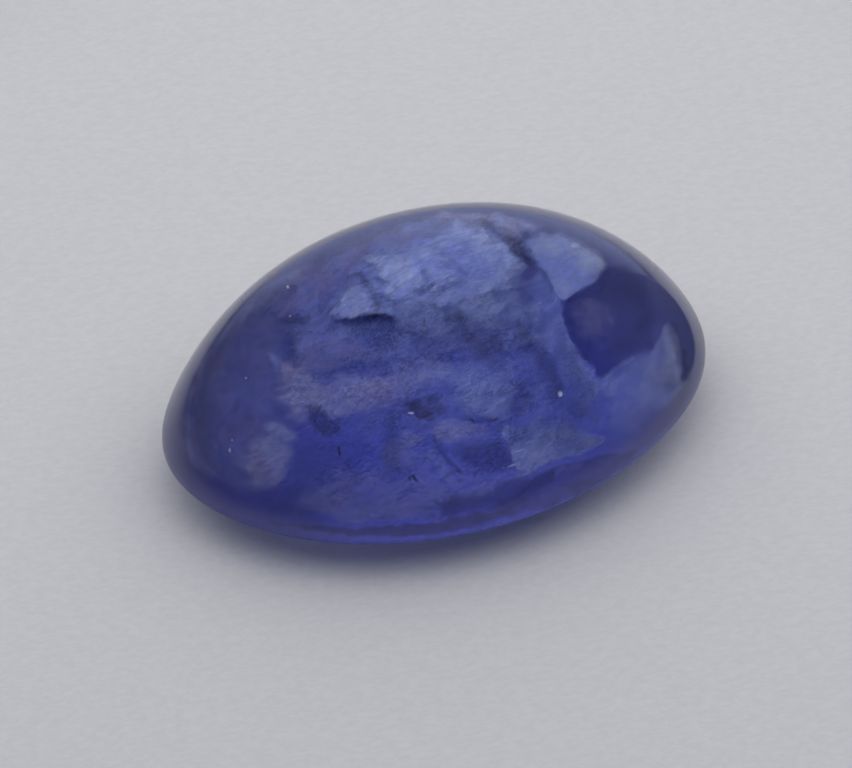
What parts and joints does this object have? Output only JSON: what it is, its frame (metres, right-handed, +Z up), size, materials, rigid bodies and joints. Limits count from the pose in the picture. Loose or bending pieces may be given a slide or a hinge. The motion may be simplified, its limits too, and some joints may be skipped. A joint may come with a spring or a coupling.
{
  "type": "polished tanzanite cabochon",
  "caption": "Oval blue-violet gemstone with a high polished dome, a thin girdle and a shallow rounded base that rests on a small flat.",
  "frame": {"origin": "under the middle of the stone, on the small flat that it rests on", "axes": "+X along the oval's length, +Y across its width, +Z up through the dome"},
  "size_m": [0.012, 0.0086, 0.0047],
  "materials": {
    "polished_tanzanite": "high polish, deep blue-violet, see-through but clouded by feathers inside"
  },
  "bodies": {
    "root": {"tanzanite_cabochon": "polished_tanzanite"}
  },
  "joints": []
}
